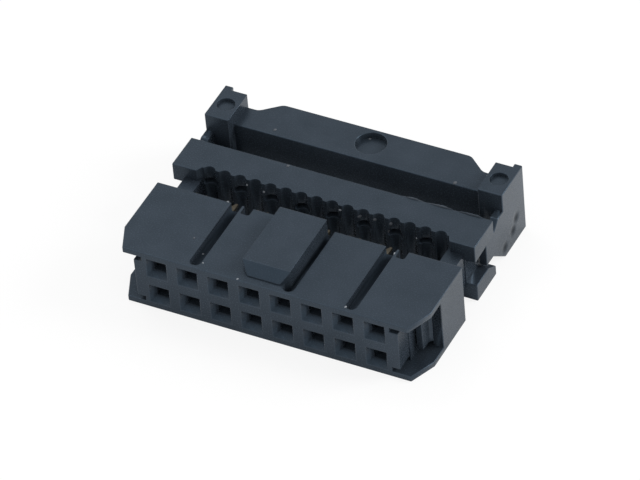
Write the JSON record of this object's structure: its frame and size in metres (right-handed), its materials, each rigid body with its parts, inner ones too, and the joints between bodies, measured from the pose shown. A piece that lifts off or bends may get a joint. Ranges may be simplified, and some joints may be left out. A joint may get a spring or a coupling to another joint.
{
  "type": "ribbon cable socket connector",
  "caption": "Ribbon-cable socket connector, open, with a polarising key, a sliding cable cover on hooked legs, a clip-on strain relief and cranked fork contacts.",
  "frame": {"origin": "middle of the contact grid, on the mating face", "axes": "+X along the contact rows, +Y from the mating face to the rear, +Z towards the polarising key"},
  "size_m": [0.025, 0.019, 0.0063],
  "materials": {
    "socket_plastic": "moulded black polyester, satin",
    "cover_plastic": "moulded black polyester, satin",
    "relief_plastic": "moulded black polyester, satin",
    "contact_metal": "tinned phosphor bronze sheet, blanked"
  },
  "bodies": {
    "socket": {"socket_body": "socket_plastic", "upper_contact_1": "contact_metal", "upper_contact_2": "contact_metal", "upper_contact_3": "contact_metal", "upper_contact_4": "contact_metal", "upper_contact_5": "contact_metal", "upper_contact_6": "contact_metal", "upper_contact_7": "contact_metal", "upper_contact_8": "contact_metal", "lower_contact_1": "contact_metal", "lower_contact_2": "contact_metal", "lower_contact_3": "contact_metal", "lower_contact_4": "contact_metal", "lower_contact_5": "contact_metal", "lower_contact_6": "contact_metal", "lower_contact_7": "contact_metal", "lower_contact_8": "contact_metal"},
    "cover": {"cable_cover": "cover_plastic", "strain_relief": "relief_plastic"}
  },
  "joints": [
    {"name": "cover_press", "type": "slide", "parent": "socket", "child": "cover", "axis": [0, -1, 0], "range_m": [0, 0.00215]}
  ]
}
